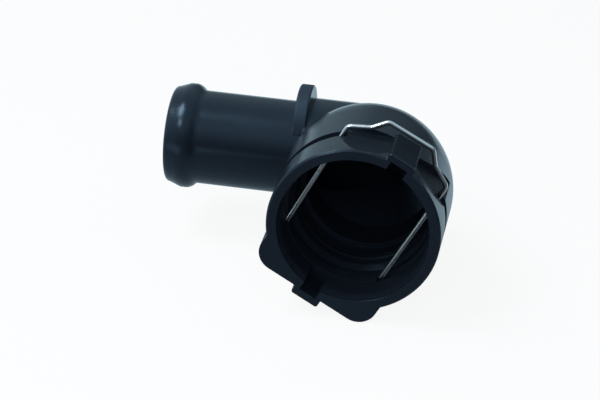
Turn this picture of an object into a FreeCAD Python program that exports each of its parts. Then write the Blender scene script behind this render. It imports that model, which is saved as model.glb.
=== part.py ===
import FreeCAD, Part
import math
import os

# Coolant flange: a moulded 90 degree connector. A round socket takes the
# spigot of a radiator, a bent wire clip holds it there, a rubber ring seals
# it, and a beaded stub carries the hose.
# Millimetres. The origin is the centre of the socket's mouth, the socket runs
# along +Y into the part, the hose stub along -X, and +Z is up.

Vec = FreeCAD.Vector

# Socket, measured along its axis from the mouth
entry_bore_radius = 24.0    # takes the collar of the spigot, up to the clip
socket_wall = 4.3           # from the entry bore to the outside
collar_step = 0.3           # the bore is smaller by this behind the clip
collar_run = 4.8            # from the clip to the end of the collar bore
seal_step = 1.3             # from the collar bore down to the spigot's nose
seal_run = 14.8             # length of the nose's bore
stop_step = 1.6             # shoulder that the nose stops at
mouth_flare = 0.9           # the mouth is wider than the bore by this
mouth_lead = 3.2            # length of the taper from the mouth to the bore
rim_round = 0.6
step_chamfer = 0.8

# Domed back and elbow
dome_overlap = 1.2          # the outside begins to round over this much before the stop
elbow_run = 25.6            # from there to the stub's axis
wall = 3.1                  # moulded wall of dome and stub
root_step = 1.7             # the elbow is thicker than the shank by this, up to the hose stop
root_tuck = 1.2             # the thick part ends this much inside the hose stop
root_round = 0.5

# Hose stub, measured from the socket's axis to the left
stub_radius = 16.0
stub_reach = 71.7           # to the open end
bead_radius = 17.95
bead_rise = 5.1             # from the end to the crest
bead_flat = 2.0             # width of the crest
bead_fall = 3.0             # from the crest back to the shank
end_step = 0.5              # the rise starts this much outside the shank
end_round = 1.2
end_chamfer = 0.8
lug_reach = 26.1            # middle of the hose stop
lug_thickness = 4.6
lug_radius = 12.4
lug_rise = 22.8             # top of the stop above the stub's axis
lug_edge = 0.7

# Key blocks and facets, about an axis that leans from +Z towards +X
clock_angle = 28.8
key_half_width = 3.1
key_skin = 0.5              # the key slots stop this much inside the socket's outside
key_stop = 2.0              # and this much in front of the clip
upper_block_half_width = 4.7
upper_block_rise = 1.7      # above the socket's outside
lower_block_half_width = 4.9
lower_block_rise = 1.9
block_run = 2.6             # the blocks end this much behind the clip
block_edge = 0.5
facet_angle = 24.0
left_facet_drop = 1.7       # depth of each facet where it runs level
left_facet_front = -1.2     # it would meet the socket's outside here, and falls from there
left_facet_fall = 12.0      # length of its fall
left_facet_back = 3.2       # its back wall, behind the clip, at the facet's middle
left_facet_slant = 8.0      # the back wall runs away from the block at this angle
right_facet_drop = 2.2
right_facet_front = 3.2
right_facet_fall = 8.0
right_facet_back = 4.9
right_facet_slant = 42.0

# Skirt round the lower half, which hides the clip's ends
skirt_margin = 2.9          # beside the clip's slots
skirt_flat = 0.8            # its straight foot lies this much inside the socket's outside
skirt_corner = 6.6
skirt_run = 3.6             # it ends this much behind the clip

# Wire clip, a little askew in its slots
clip_angle = 27.3
clip_plane = 15.0           # from the mouth to the wire's middle
wire_diameter = 1.6
leg_offset = 17.9           # from the socket's axis to the free end of each leg
leg_splay = 0.65            # the legs stand this much further out at the shoulders
leg_cover = 3.3             # the free ends lie this much above the skirt's foot
wire_lift = 1.9             # wire's middle above the socket, at shoulders and kinks
ramp_run = 3.65             # sideways from a kink to the bow
bow_margin = 3.6            # the bow is wider than the upper block by this, each side
bow_gap = 1.7               # room under the bow
wire_bend = 2.0             # radius of each bend at the wire's middle
clip_clearance = 0.2        # beside the wire in its slots
slot_room_ahead = 2.0       # in front of the wire
slot_room_behind = 0.45

# Seal
ring_section = 3.2
groove_depth = 2.6
groove_land = 5.4           # from the end of the collar bore to the groove
groove_width = 4.2
seal_clearance = 0.03

# Values that follow from the ones above
overrun = 1.0
drum_radius = entry_bore_radius + socket_wall
reach_out = 2 * drum_radius
collar_bore_radius = entry_bore_radius - collar_step
collar_bore_depth = clip_plane + collar_run
seal_bore_radius = collar_bore_radius - seal_step
seal_bore_depth = collar_bore_depth + seal_run
stop_radius = seal_bore_radius - stop_step
groove_radius = seal_bore_radius + groove_depth
groove_start = collar_bore_depth + groove_land
dome_start = seal_bore_depth - dome_overlap
stub_axis_depth = dome_start + elbow_run
stub_bore = stub_radius - wall
root_radius = stub_radius + root_step
root_reach = lug_reach - lug_thickness / 2 + root_tuck
key_radius = drum_radius - key_skin
key_depth = clip_plane - key_stop
upper_block_top = drum_radius + upper_block_rise
lower_block_top = drum_radius + lower_block_rise
block_length = clip_plane + block_run
wire_radius = wire_diameter / 2
slot_half = wire_radius + clip_clearance
slot_front = clip_plane - wire_radius - slot_room_ahead
slot_rear = clip_plane + wire_radius + slot_room_behind
skirt_half_width = leg_offset + slot_half + skirt_margin
skirt_drop = drum_radius - skirt_flat
skirt_length = clip_plane + skirt_run
leg_bottom = skirt_drop - leg_cover
shoulder_offset = leg_offset + leg_splay
shoulder_height = math.sqrt((drum_radius + wire_lift) ** 2 - shoulder_offset ** 2)
bow_half_width = upper_block_half_width + bow_margin
bow_height = upper_block_top + bow_gap + wire_radius
kink_offset = bow_half_width + ramp_run
kink_height = math.sqrt((drum_radius + wire_lift) ** 2 - kink_offset ** 2)


def revolve_y(edges):
    """Full turn about the socket's axis of a closed outline in the XY plane."""
    face = Part.Face(Part.Wire(edges))
    return face.revolve(Vec(0, 0, 0), Vec(0, 1, 0), 360)


def polyline(points):
    return [Part.makeLine(a, b) for a, b in zip(points, points[1:])]


def arc(start, middle, end):
    return Part.Arc(start, middle, end).toShape()


def clocked(shape, angle=clock_angle):
    """Turn a feature built upright about the socket's axis to where it stands."""
    shape.rotate(Vec(0, 0, 0), Vec(0, 1, 0), angle)
    return shape


def box(x0, x1, y0, y1, z0, z1):
    return Part.makeBox(x1 - x0, y1 - y0, z1 - z0, Vec(x0, y0, z0))


def prism(points, y0, y1):
    """Straight prism along the socket's axis from a closed outline of (x, z) points."""
    corners = [Vec(x, y0, z) for x, z in points]
    face = Part.Face(Part.makePolygon(corners + corners[:1]))
    return face.extrude(Vec(0, y1 - y0, 0))


def pod(front, big_radius, small_radius):
    """Solid of revolution: a drum that rounds over and tapers to the elbow's ball."""
    gap = stub_axis_depth - dome_start
    lean = math.asin((big_radius - small_radius) / gap)

    def on_ball(centre, radius, angle):
        return Vec(radius * math.cos(angle), centre + radius * math.sin(angle), 0)

    quarter = math.pi / 2
    shoulder = Vec(big_radius, dome_start, 0)
    taper_top = on_ball(dome_start, big_radius, lean)
    taper_end = on_ball(stub_axis_depth, small_radius, lean)
    pole = Vec(0, stub_axis_depth + small_radius, 0)
    edges = polyline([Vec(0, front, 0), Vec(big_radius, front, 0), shoulder])
    edges.append(arc(shoulder, on_ball(dome_start, big_radius, lean / 2), taper_top))
    edges.append(Part.makeLine(taper_top, taper_end))
    middle = on_ball(stub_axis_depth, small_radius, (lean + quarter) / 2)
    edges.append(arc(taper_end, middle, pole))
    edges.append(Part.makeLine(pole, Vec(0, front, 0)))
    return revolve_y(edges)


def stub_outside():
    """Thick root, shank, bead and rounded end, revolved about the stub's axis."""
    crest_start = stub_reach - bead_rise
    crest_end = crest_start - bead_flat
    shank_end = crest_end - bead_fall
    tip = stub_radius + end_step
    nose = tip - end_round

    def at(reach, radius):
        return Vec(-reach, stub_axis_depth + radius, 0)

    diagonal = end_round * (1 - math.sqrt(0.5))
    round_off = root_round * (1 - math.sqrt(0.5))
    edges = polyline([at(0, 0), at(0, root_radius), at(root_reach - root_round, root_radius)])
    edges.append(arc(at(root_reach - root_round, root_radius),
                     at(root_reach - round_off, root_radius - round_off),
                     at(root_reach, root_radius - root_round)))
    edges += polyline([at(root_reach, root_radius - root_round), at(root_reach, stub_radius),
                       at(shank_end, stub_radius)])
    fall = bead_radius - stub_radius
    edges.append(arc(at(shank_end, stub_radius),
                     at(shank_end + bead_fall * 0.45, stub_radius + fall * 0.68),
                     at(crest_end, bead_radius)))
    edges.append(Part.makeLine(at(crest_end, bead_radius), at(crest_start, bead_radius)))
    edges.append(Part.makeLine(at(crest_start, bead_radius),
                               at(stub_reach - end_round, tip)))
    edges.append(arc(at(stub_reach - end_round, tip),
                     at(stub_reach - diagonal, tip - diagonal),
                     at(stub_reach, nose)))
    edges += polyline([at(stub_reach, nose), at(stub_reach, 0), at(0, 0)])
    face = Part.Face(Part.Wire(edges))
    return face.revolve(Vec(0, stub_axis_depth, 0), Vec(1, 0, 0), 360)


def stub_bore_tool():
    base = Vec(-stub_reach - overrun, stub_axis_depth, 0)
    bore = Part.makeCylinder(stub_bore, stub_reach + overrun, base, Vec(1, 0, 0))
    flare = Part.makeCone(stub_bore + end_chamfer + overrun, stub_bore,
                          end_chamfer + overrun, base, Vec(1, 0, 0))
    return bore.fuse(flare)


def hose_stop():
    """Thick half-round fin on top of the stub that the hose is pushed up to."""
    centre = lug_rise - lug_radius
    base = Vec(-lug_reach - lug_thickness / 2, stub_axis_depth, centre)
    disc = Part.makeCylinder(lug_radius, lug_thickness, base, Vec(1, 0, 0))
    return disc.makeFillet(lug_edge, disc.Edges)


def drum():
    """Socket, dome and elbow ball as one revolved outside, with a rounded rim."""
    solid = pod(0, drum_radius, root_radius)
    cutter = Part.makeCylinder(reach_out, rim_round, Vec(0, 0, 0), Vec(0, 1, 0))
    inner = Part.makeCone(drum_radius - rim_round, drum_radius, rim_round,
                          Vec(0, 0, 0), Vec(0, 1, 0))
    return solid.cut(cutter.cut(inner))


def facet_cutter(side, drop, front, fall, back, slant):
    """Flat beside the upper block: it falls towards the clip, then runs level to a slanted wall."""
    start = drum_radius + overrun * drop / fall
    level = drum_radius - drop
    span = 1.2 * math.sqrt(drum_radius ** 2 - level ** 2)
    run = span * math.tan(math.radians(slant))
    profile = [(front - overrun, start), (front + fall, level), (reach_out, level),
               (reach_out, reach_out), (front - overrun, reach_out)]
    corners = [Vec(-span, y, z) for y, z in profile]
    flat = Part.Face(Part.makePolygon(corners + corners[:1])).extrude(Vec(2 * span, 0, 0))
    wall_middle = clip_plane + back
    plan = [(-side * span, -drum_radius), (side * span, -drum_radius),
            (side * span, wall_middle + run), (-side * span, wall_middle - run)]
    corners = [Vec(x, y, 0) for x, y in plan]
    keep = Part.Face(Part.makePolygon(corners + corners[:1])).extrude(Vec(0, 0, reach_out))
    return clocked(flat.common(keep), side * facet_angle)


def skirt():
    """Square skirt round the lower half of the socket that hides the legs' ends."""
    slab = box(-skirt_half_width, skirt_half_width, 0, skirt_length, -skirt_drop, 0)
    corners = [edge for edge in slab.Edges
               if abs(edge.Vertexes[0].Y - edge.Vertexes[1].Y) > skirt_length / 2
               and edge.Vertexes[0].Z < -skirt_drop / 2]
    rounded = slab.makeFillet(skirt_corner, corners)
    narrow = box(-skirt_half_width, skirt_half_width, 0, skirt_length, -skirt_drop,
                 -skirt_half_width / 3)
    return rounded.common(narrow)


def upper_block():
    half = upper_block_half_width
    top = upper_block_top
    root = entry_bore_radius - overrun
    outline = [(-half, root), (half, root), (half, top - block_edge),
               (half - block_edge, top), (block_edge - half, top), (-half, top - block_edge)]
    return prism(outline, 0, block_length)


def lower_block():
    half = lower_block_half_width
    top = -lower_block_top
    root = overrun - entry_bore_radius
    outline = [(-half, root), (half, root), (half, top + block_edge),
               (half - block_edge, top), (block_edge - half, top), (-half, top + block_edge)]
    return prism(outline, 0, block_length)


def bores():
    """Collar bore, seal bore with its groove, and the room behind the stop."""
    entry = Part.makeCylinder(entry_bore_radius, slot_front, Vec(0, 0, 0), Vec(0, 1, 0))
    collar = Part.makeCylinder(collar_bore_radius, collar_bore_depth, Vec(0, 0, 0),
                               Vec(0, 1, 0))
    opened = mouth_flare * (1 + overrun / mouth_lead)
    flare = Part.makeCone(entry_bore_radius + opened, entry_bore_radius,
                          mouth_lead + overrun, Vec(0, -overrun, 0), Vec(0, 1, 0))
    lead = Part.makeCone(collar_bore_radius, seal_bore_radius,
                         collar_bore_radius - seal_bore_radius + step_chamfer,
                         Vec(0, collar_bore_depth, 0), Vec(0, 1, 0))
    seal = Part.makeCylinder(seal_bore_radius, seal_bore_depth, Vec(0, 0, 0), Vec(0, 1, 0))
    groove = Part.makeCylinder(groove_radius, groove_width, Vec(0, groove_start, 0),
                               Vec(0, 1, 0))
    room = pod(0, drum_radius - wall, stub_bore)
    behind = Part.makeCylinder(stop_radius, stub_axis_depth + reach_out, Vec(0, 0, 0),
                               Vec(0, 1, 0))
    return entry.fuse([collar, flare, lead, seal, groove, room.common(behind)])


def key_slots():
    return box(-key_half_width, key_half_width, -overrun, key_depth, -key_radius, key_radius)


def leg_at(height):
    """How far out the middle of a leg stands at a height in the clip's own frame."""
    return leg_offset + leg_splay * (height + leg_bottom) / (shoulder_height + leg_bottom)


def clip_slots():
    """Slot for each leg, open at the side and closed in the skirt's corners."""
    low = -leg_bottom - 2 * clip_clearance
    mouth = overrun - math.sqrt(drum_radius ** 2 - skirt_half_width ** 2)
    above = mouth + overrun
    tools = []
    for side in (-1, 1):
        slot = [(side * (leg_at(mouth) - slot_half), mouth), (side * reach_out, mouth),
                (side * reach_out, reach_out), (side * (leg_at(reach_out) - slot_half), reach_out)]
        pocket = [(side * (leg_at(low) - slot_half), low), (side * (leg_at(low) + slot_half), low),
                  (side * (leg_at(above) + slot_half), above),
                  (side * (leg_at(above) - slot_half), above)]
        tools += [prism(slot, slot_front, slot_rear), prism(pocket, slot_front, slot_rear)]
    return tools


def make_body():
    outside = drum()
    left = facet_cutter(-1, left_facet_drop, left_facet_front, left_facet_fall,
                        left_facet_back, left_facet_slant)
    right = facet_cutter(1, right_facet_drop, right_facet_front, right_facet_fall,
                         right_facet_back, right_facet_slant)
    outside = outside.cut([clocked(left), clocked(right)])
    extras = [stub_outside(), hose_stop(), clocked(skirt()), clocked(upper_block()),
              clocked(lower_block())]
    outside = outside.fuse(extras)
    inside = [bores(), stub_bore_tool(), clocked(key_slots())]
    inside += [clocked(tool, clip_angle) for tool in clip_slots()]
    return outside.cut(inside).Solids[0]


def wire_path():
    """Middle line of the clip: leg, shoulder, ramp, flat bow, and back down."""
    right = [(leg_offset, -leg_bottom), (shoulder_offset, shoulder_height),
             (kink_offset, kink_height), (bow_half_width, bow_height)]
    points = [Vec(x, clip_plane, z) for x, z in right]
    points += [Vec(-x, clip_plane, z) for x, z in reversed(right)]
    edges = []
    start = points[0]
    for before, corner, after in zip(points, points[1:], points[2:]):
        into = (corner - before).normalize()
        out = (after - corner).normalize()
        turn = into.getAngle(out)
        trim = wire_bend * math.tan(turn / 2)
        first = corner - into * trim
        last = corner + out * trim
        bisector = (out - into).normalize()
        middle = corner + bisector * (wire_bend / math.cos(turn / 2) - wire_bend)
        edges.append(Part.makeLine(start, first))
        edges.append(arc(first, middle, last))
        start = last
    edges.append(Part.makeLine(start, points[-1]))
    return Part.Wire(edges)


def make_clip():
    path = wire_path()
    end = Vec(leg_offset, clip_plane, -leg_bottom)
    along = Vec(shoulder_offset, clip_plane, shoulder_height) - end
    section = Part.Wire(Part.makeCircle(wire_radius, end, along))
    return clocked(path.makePipeShell([section], True, True), clip_angle)


def make_seal():
    middle = groove_radius - seal_clearance - ring_section / 2
    centre = Vec(0, groove_start + groove_width / 2, 0)
    return Part.makeTorus(middle, ring_section / 2, centre, Vec(0, 1, 0))


def main():
    os.makedirs("parts", exist_ok=True)
    nodes = {"connector_body": make_body(), "retaining_clip": make_clip(),
             "seal_ring": make_seal()}
    for name, shape in nodes.items():
        shape.exportStep("parts/" + name + ".step")
        print(name, shape.ShapeType, len(shape.Solids), round(shape.Volume, 1), shape.isValid())


main()
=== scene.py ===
import math

import bmesh
import bpy
from mathutils import Matrix, Vector


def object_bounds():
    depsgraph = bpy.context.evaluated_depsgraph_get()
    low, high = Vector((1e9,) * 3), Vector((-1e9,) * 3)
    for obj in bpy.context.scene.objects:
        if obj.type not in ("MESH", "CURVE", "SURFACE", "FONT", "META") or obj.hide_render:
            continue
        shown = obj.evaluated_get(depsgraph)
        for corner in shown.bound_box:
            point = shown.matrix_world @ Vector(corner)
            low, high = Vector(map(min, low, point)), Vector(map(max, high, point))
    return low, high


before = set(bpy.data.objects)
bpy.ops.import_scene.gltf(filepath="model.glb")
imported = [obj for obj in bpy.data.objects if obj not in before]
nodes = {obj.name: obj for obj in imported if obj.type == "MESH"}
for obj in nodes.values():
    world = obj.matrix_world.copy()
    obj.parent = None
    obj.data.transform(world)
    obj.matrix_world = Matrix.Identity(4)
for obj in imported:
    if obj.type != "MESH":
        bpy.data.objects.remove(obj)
cad_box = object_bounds()

# Connector body
# One injection moulding of black glass-filled nylon, satin, with fine grain and faint flow marks. The
# flats beside the key blocks and the blocks themselves get little sheen, painted shade where they lie
# in shade; the hose stop's rim is rougher and has a paler tone, a painted sheen; the moulded edges are
# only just broken, and the hose bead is well rounded.


class Signal:
    """One output of a material's nodes. Arithmetic on it adds Math nodes, and node() adds any other."""

    def __init__(self, tree, socket=None):
        self.tree = tree
        self.socket = socket

    def node(self, kind, settings=None, sockets=None, out=0):
        """Add a node: its settings first, then the values or links of its sockets."""
        made = self.tree.nodes.new("ShaderNode" + kind)
        for name, value in (settings or {}).items():
            setattr(made, name, value)
        for name, value in (sockets or {}).items():
            if isinstance(value, Signal):
                self.tree.links.new(value.socket, made.inputs[name])
            else:
                made.inputs[name].default_value = value
        return Signal(self.tree, made.outputs[out] if made.outputs else None)

    def math(self, operation, *terms):
        return self.node("Math", {"operation": operation}, dict(enumerate(terms)))

    def __add__(self, other):
        return self.math("ADD", self, other)

    def __radd__(self, other):
        return self.math("ADD", other, self)

    def __sub__(self, other):
        return self.math("SUBTRACT", self, other)

    def __rsub__(self, other):
        return self.math("SUBTRACT", other, self)

    def __mul__(self, other):
        return self.math("MULTIPLY", self, other)

    def __rmul__(self, other):
        return self.math("MULTIPLY", other, self)

    def __neg__(self):
        return 0 - self

    def __lt__(self, other):
        return self.math("LESS_THAN", self, other)

    def __gt__(self, other):
        return self.math("GREATER_THAN", self, other)


def new_finish(name):
    """An empty material and the signal that its nodes are added from."""
    material = bpy.data.materials.new(name)
    material.use_nodes = True
    material.node_tree.nodes.clear()
    return material, Signal(material.node_tree)


def dress(piece, material):
    """Give a piece one material."""
    piece.data.materials.clear()
    piece.data.materials.append(material)


def ramp(value, low, high):
    """A soft step from nought at low to one at high."""
    return value.node("MapRange", {"interpolation_type": "SMOOTHSTEP"},
                      {"Value": value, "From Min": low, "From Max": high})


def noise(place, scale, detail=3, distortion=0.0):
    """Soft patches in the material itself, between nought and one."""
    return place.node("TexNoise", None, {"Vector": place, "Scale": scale, "Detail": detail,
                                         "Distortion": distortion})


def axes_of(place):
    """The three coordinates of a place, one signal each."""
    return [place.node("SeparateXYZ", None, {"Vector": place}, out=axis) for axis in "XYZ"]


def from_axis(place, through, across):
    """How far a place lies from the axis through a point; across is nought along that axis."""
    offset = place.node("VectorMath", {"operation": "SUBTRACT"}, {0: place, 1: through})
    flat = place.node("VectorMath", {"operation": "MULTIPLY"}, {0: offset, 1: across})
    return place.node("VectorMath", {"operation": "LENGTH"}, {0: flat}, out="Value")


def mix(factor, low, high, kind="RGBA"):
    """Between two colours or two vectors. A Mix node has other sockets for each kind."""
    first, result = {"RGBA": (6, 2), "VECTOR": (4, 1)}[kind]
    return factor.node("Mix", {"data_type": kind}, {"Factor": factor, first: low, first + 1: high},
                       out=result)


def relief_of(height, strength, depth, surface=None):
    """A bumped normal: how strong and how deep, over a surface that may be rounded already."""
    sockets = {"Strength": strength, "Distance": depth, "Height": height}
    if surface:
        sockets["Normal"] = surface
    return height.node("Bump", None, sockets)


MM = 0.001
PLASTIC_DARK = (0.0068, 0.0092, 0.0135, 1)
PLASTIC_LIGHT = (0.0105, 0.0138, 0.0205, 1)
# A paler tone on the hose stop's rim: painted sheen.
PLASTIC_PAINTED_SHEEN = (0.020, 0.028, 0.041, 1)
SHEEN_TINT = (0.55, 0.78, 1.0, 1)
PLASTIC_GLOSS = 0.45
PLASTIC_ROUGHNESS = 0.16
# Little sheen on the flats and key blocks: painted shade.
SHADE_PAINTING_GLOSS = 0.09
SHADE_PAINTING_ROUGHNESS = 0.50
FLOW_SCALE = 55
FLOW_DISTORTION = 0.6
FLOW_ROUGHENS = 0.10
GRAIN_SCALE = 2600
GRAIN_SHARE = 0.6
PIT_SCALE = 700
PITS_ROUGHEN = 0.08
NOISE_MIDDLE = 0.5
GRAIN_STRENGTH = 0.35
GRAIN_DEPTH = 0.03 * MM
EDGE_BREAK = 0.28 * MM
EDGE_RAYS = 6
BEAD_BREAK = 3.0 * MM
BEAD_RAYS = 8
BEAD_FROM = 60.5 * MM
BEAD_FADE = 0.5 * MM
STUB_DEPTH = 59.0 * MM
SHANK_RADIUS = 16.0 * MM
STOP_RIGHT = 24.05 * MM
STOP_LEFT = 28.6 * MM
STOP_FRONT = 46.4 * MM
STOP_ROUGHENS = 0.32
STOP_PAINTED_SHEEN = 0.75
DRUM_RADIUS = 28.3 * MM
CUT_WHOLE = 0.14 * MM
CUT_NONE = 0.02 * MM
BLOCK_NONE = 0.10 * MM
BLOCK_WHOLE = 0.40 * MM
FLATS_FROM = 0.7 * MM
FLATS_FADE = 0.4 * MM
FLATS_TO = 17.2 * MM
SCOOP_RIGHT_OF = 14.5 * MM
SCOOP_ABOVE = 2.0 * MM
SCOOP_FADE = 1.0 * MM
SCOOP_TO = 33.0 * MM


def skin(tone, roughness, gloss, relief):
    """A dark skin whose sheen is cool, as on all the black pieces."""
    return relief.node("BsdfPrincipled", None, {"Base Color": tone, "Roughness": roughness,
                                                "Specular IOR Level": gloss,
                                                "Specular Tint": SHEEN_TINT, "Normal": relief})


def stop_mask(place):
    """One on the hose stop's rim, which stands out round the shank; it makes the rim rougher and paints
    a sheen on it as a paler tone.
    """
    along, depth, _ = axes_of(place)
    from_stub = from_axis(place, (0, STUB_DEPTH, 0), (0, 1, 1))
    rim = ramp(from_stub, SHANK_RADIUS + BLOCK_NONE, SHANK_RADIUS + BLOCK_WHOLE)
    return rim * (along < -STOP_RIGHT) * (along > -STOP_LEFT) * (depth > STOP_FRONT)


def flats_painted_shade_mask(place):
    """One on the flats cut into the drum, on the key blocks that stand out of it, and further back on
    the upper right: there the skin gets little sheen, as painted shade.
    """
    along, depth, height = axes_of(place)
    from_drum = from_axis(place, (0, 0, 0), (1, 0, 1))
    cut = 1 - ramp(from_drum, DRUM_RADIUS - CUT_WHOLE, DRUM_RADIUS - CUT_NONE)
    block = ramp(from_drum, DRUM_RADIUS + BLOCK_NONE, DRUM_RADIUS + BLOCK_WHOLE)
    scoop = (ramp(along, SCOOP_RIGHT_OF, SCOOP_RIGHT_OF + SCOOP_FADE)
             * ramp(height, SCOOP_ABOVE, SCOOP_ABOVE + SCOOP_FADE))
    reach = FLATS_TO + (SCOOP_TO - FLATS_TO) * scoop
    return (cut + block) * ramp(depth, FLATS_FROM, FLATS_FROM + FLATS_FADE) * (depth < reach)


def moulded_plastic():
    material, start = new_finish("moulded_plastic")
    place = start.node("TexCoord", out="Object")
    flow = noise(place, FLOW_SCALE, distortion=FLOW_DISTORTION)
    grain = noise(place, GRAIN_SCALE)
    pits = noise(place, PIT_SCALE, detail=4)
    stop = stop_mask(place)
    tone = mix(flow, PLASTIC_DARK, PLASTIC_LIGHT)
    # Painted sheen: the hose stop's rim is given a paler tone.
    tone = mix(stop * STOP_PAINTED_SHEEN, tone, PLASTIC_PAINTED_SHEEN)
    rough = (PLASTIC_ROUGHNESS + FLOW_ROUGHENS * flow + PITS_ROUGHEN * (pits - NOISE_MIDDLE)
             + STOP_ROUGHENS * stop)
    along, _, _ = axes_of(place)
    bead = ramp(-along, BEAD_FROM - BEAD_FADE, BEAD_FROM)
    crisp = start.node("Bevel", {"samples": EDGE_RAYS}, {"Radius": EDGE_BREAK})
    rounded = start.node("Bevel", {"samples": BEAD_RAYS}, {"Radius": BEAD_BREAK})
    edge = mix(bead, crisp, rounded, "VECTOR")
    texture = grain * GRAIN_SHARE + pits * (1 - GRAIN_SHARE)
    relief = relief_of(texture, GRAIN_STRENGTH, GRAIN_DEPTH, edge)
    satin = skin(tone, rough, PLASTIC_GLOSS, relief)
    # Painted shade: the flats and key blocks get far less sheen, so they stay dark as in shade.
    painted_shade = skin(tone, SHADE_PAINTING_ROUGHNESS, SHADE_PAINTING_GLOSS, relief)
    shader = start.node("MixShader", None, {0: flats_painted_shade_mask(place), 1: satin, 2: painted_shade})
    start.node("OutputMaterial", None, {"Surface": shader})
    return material


dress(nodes["connector_body"], moulded_plastic())

# Seal ring
# A moulded rubber ring of round section, held in a groove inside the socket by its own stretch. Its
# skin is dull black, with a faint uneven bloom.

RUBBER = (0.0045, 0.0060, 0.0080, 1)
RUBBER_GLOSS = 0.20
RUBBER_ROUGHNESS = 0.45
BLOOM_SCALE = 400
BLOOM_ROUGHENS = 0.2
BLOOM_STRENGTH = 0.2
BLOOM_DEPTH = 0.02 * MM


def seal_rubber():
    material, start = new_finish("seal_rubber")
    bloom = noise(start.node("TexCoord", out="Object"), BLOOM_SCALE, detail=4)
    shader = skin(RUBBER, RUBBER_ROUGHNESS + BLOOM_ROUGHENS * bloom, RUBBER_GLOSS,
                  relief_of(bloom, BLOOM_STRENGTH, BLOOM_DEPTH))
    start.node("OutputMaterial", None, {"Surface": shader})
    return material


dress(nodes["seal_ring"], seal_rubber())

# Retaining clip
# Bright drawn spring-steel wire, bent cold. It keeps the fine lines of the drawing die along its
# length, and slides in two open slots of the socket.

WIRE_BRIGHT = (0.90, 0.89, 0.88, 1)
WIRE_DULL = (0.66, 0.65, 0.65, 1)
WIRE_ROUGHNESS = 0.20
STAIN_SCALE = 260
STAIN_ROUGHENS = 0.16
LINE_SCALE = 6000
LINE_STRETCH = 0.03
LINE_STRENGTH = 0.3
LINE_DEPTH = 0.01 * MM
CLOCK = math.radians(27.3)


def spring_wire():
    material, start = new_finish("spring_wire")
    place = start.node("TexCoord", out="Object")
    drawn = start.node("Mapping", {"vector_type": "POINT"},
                       {"Vector": place, "Rotation": (0, -CLOCK, 0), "Scale": (1, 1, LINE_STRETCH)})
    lines = noise(drawn, LINE_SCALE)
    stain = noise(place, STAIN_SCALE)
    tone = mix(stain, WIRE_DULL, WIRE_BRIGHT)
    shader = start.node("BsdfPrincipled", None, {"Base Color": tone, "Metallic": 1.0,
                                                 "Roughness": WIRE_ROUGHNESS + STAIN_ROUGHENS * stain,
                                                 "Normal": relief_of(lines, LINE_STRENGTH, LINE_DEPTH)})
    start.node("OutputMaterial", None, {"Surface": shader})
    return material


dress(nodes["retaining_clip"], spring_wire())

# Floor and light
# A plain white floor and surround, a broad soft lamp overhead to the left, a small one in front that
# reaches into the socket, and a weak fill. What the part mirrors is the same white room with its
# front unlit, as in a studio, and a white card that lies on the floor in front to the left.

WHITE = (1, 1, 1, 1)
FLOOR_SIZE = 6.0
FLOOR_TONE = (0.9, 0.9, 0.9, 1)
SHADOW_LIFT = 0.90
FLOOR_MIRRORED = 0.95
FLOOR_BRIGHTENS = (-0.07, 0.19)
CARD_LEFT_OF = 0.078
CARD_IN_FRONT = 0.03
CARD_REACH = 0.30
CARD_EDGE = 0.02
CARD_FADE = 0.1
SKY_LEVEL = 0.35
SKY_TINT = (0.72, 0.87, 1.0, 1)
MIRROR_TINT = (0.62, 0.86, 1.0, 1)
ROOM_CLIMBS = (0.0, 0.9)
ROOM_BEHIND = (-0.9, 0.6)
ROOM_RIGHT = (-0.30, 0.0)
ROOM_LEFT = (0.6, 0.95)
TOP = 0.66
HORIZON = 0.8
RIGHT_DIM = 0.8
LEFT_GLOW = 0.45
LAMP_AIM = Vector((0, 0.03, 0))
LAMP_TINT = (0.84, 0.93, 1.0)
FILL_TINT = (0.80, 0.91, 1.0)


def camera_ray(start):
    """One for rays straight from the camera, and nought for all others."""
    return start.node("LightPath", out="Is Camera Ray")


def seen_directly(start):
    """One for what the camera sees, straight or in metal and glass, and nought for plain light."""
    mirrored = start.node("LightPath", out="Is Glossy Ray")
    through = start.node("LightPath", out="Is Transmission Ray")
    return start.math("MINIMUM", camera_ray(start) + mirrored + through, 1.0)


def card_band(value, near):
    """One between the card's near edge and its soft far end, along one direction."""
    return (ramp(value, near, near + CARD_EDGE)
            * (1 - ramp(value, CARD_REACH, CARD_REACH + CARD_FADE)))


def make_floor():
    shape = bmesh.new()
    bmesh.ops.create_grid(shape, x_segments=1, y_segments=1, size=FLOOR_SIZE / 2)
    bmesh.ops.translate(shape, verts=shape.verts, vec=(0, 0, cad_box[0].z))
    mesh = bpy.data.meshes.new("floor")
    shape.to_mesh(mesh)
    shape.free()
    floor = bpy.data.objects.new("floor", mesh)
    bpy.context.scene.collection.objects.link(floor)
    material, start = new_finish("white_floor")
    across, depth, _ = axes_of(start.node("TexCoord", out="Object"))
    card = card_band(-across, CARD_LEFT_OF) * card_band(-depth, CARD_IN_FRONT)
    bright = start.math("MAXIMUM", ramp(depth, *FLOOR_BRIGHTENS), card)
    paint = start.node("BsdfDiffuse", None, {"Color": FLOOR_TONE})
    glow = start.node("Emission", None, {"Color": WHITE, "Strength": 1.0})
    unlit = start.node("Emission", None, {"Color": MIRROR_TINT, "Strength": 0.0})
    lit = start.node("Emission", None, {"Color": MIRROR_TINT, "Strength": 1.0})
    mirrored = start.node("MixShader", None, {0: bright * FLOOR_MIRRORED, 1: unlit, 2: lit})
    seen = start.node("MixShader", None, {0: camera_ray(start), 1: mirrored, 2: glow})
    both = start.node("MixShader", None, {0: seen_directly(start) * SHADOW_LIFT, 1: paint, 2: seen})
    start.node("OutputMaterial", None, {"Surface": both})
    dress(floor, material)


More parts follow.
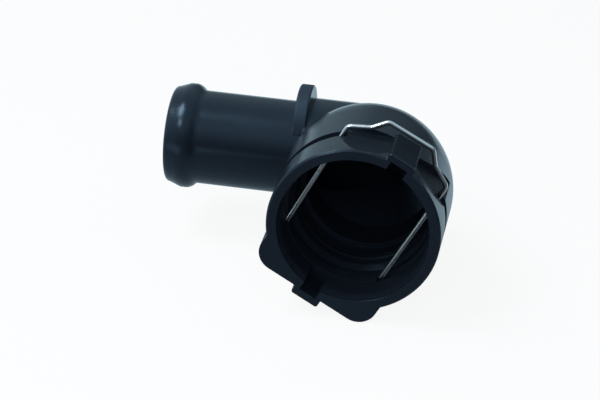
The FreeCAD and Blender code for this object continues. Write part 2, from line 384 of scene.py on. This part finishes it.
def make_surround():
    world = bpy.data.worlds.new("surround")
    world.use_nodes = True
    world.node_tree.nodes.clear()
    bpy.context.scene.world = world
    start = Signal(world.node_tree)
    across, depth, height = axes_of(start.node("TexCoord", out="Generated"))
    climb = ramp(height, *ROOM_CLIMBS)
    wall = ramp(depth, *ROOM_BEHIND) * HORIZON * (1 - RIGHT_DIM * ramp(across, *ROOM_RIGHT))
    level = TOP * (climb + (1 - climb) * wall) + LEFT_GLOW * ramp(-across, *ROOM_LEFT)
    sky = start.node("Background", None, {"Color": SKY_TINT, "Strength": SKY_LEVEL})
    mirrored = start.node("Background", None, {"Color": MIRROR_TINT, "Strength": level})
    white = start.node("Background", None, {"Color": WHITE, "Strength": 1.0})
    lit = start.node("MixShader", None, {0: seen_directly(start), 1: sky, 2: mirrored})
    both = start.node("MixShader", None, {0: camera_ray(start), 1: lit, 2: white})
    start.node("OutputWorld", None, {"Surface": both})


def make_lamp(name, place, size, watts, colour, mirrored):
    """A round soft lamp that is aimed at the socket."""
    light = bpy.data.lights.new(name, "AREA")
    light.shape = "DISK"
    light.size = size
    light.energy = watts
    light.color = colour
    lamp = bpy.data.objects.new(name, light)
    lamp.location = place
    lamp.rotation_euler = (LAMP_AIM - Vector(place)).to_track_quat("-Z", "Y").to_euler()
    lamp.visible_glossy = mirrored
    bpy.context.scene.collection.objects.link(lamp)


make_floor()
make_surround()
make_lamp("key", (-0.45, -0.05, 0.72), size=0.40, watts=3.6, colour=LAMP_TINT, mirrored=True)
make_lamp("front", (-0.42, -0.42, 0.58), size=0.14, watts=1.1, colour=LAMP_TINT, mirrored=True)
make_lamp("fill", (0.0, -0.70, 0.45), size=0.40, watts=1.9, colour=FILL_TINT, mirrored=False)

# Camera
# The photograph's long view, down onto the socket's mouth from a little to its right.

AZIMUTH = math.radians(8.3)
ELEVATION = math.radians(25.5)
ROLL = math.radians(3.3)
DISTANCE = 800.0 * MM
AIM = Vector((0, 20.0, 0)) * MM
SHIFT_RIGHT = 20.135 * MM
SHIFT_DOWN = 1.762 * MM
FOCAL_PIXELS = 2453.35
PHOTO_WIDTH = 600
SENSOR = 36.0


def make_camera():
    level = Vector((math.cos(AZIMUTH), math.sin(AZIMUTH), 0))
    ahead = Vector((-math.sin(AZIMUTH) * math.cos(ELEVATION),
                    math.cos(AZIMUTH) * math.cos(ELEVATION), -math.sin(ELEVATION)))
    upright = level.cross(ahead)
    right = math.cos(ROLL) * level + math.sin(ROLL) * upright
    up = math.cos(ROLL) * upright - math.sin(ROLL) * level
    data = bpy.data.cameras.new("camera")
    data.sensor_width = SENSOR
    data.lens = SENSOR * FOCAL_PIXELS / PHOTO_WIDTH
    camera = bpy.data.objects.new("camera", data)
    camera.location = AIM - SHIFT_RIGHT * right + SHIFT_DOWN * up - DISTANCE * ahead
    camera.rotation_mode = "QUATERNION"
    camera.rotation_quaternion = Matrix((right, up, -ahead)).transposed().to_quaternion()
    bpy.context.scene.collection.objects.link(camera)
    bpy.context.scene.camera = camera


make_camera()
bpy.context.scene.view_settings.view_transform = "Standard"
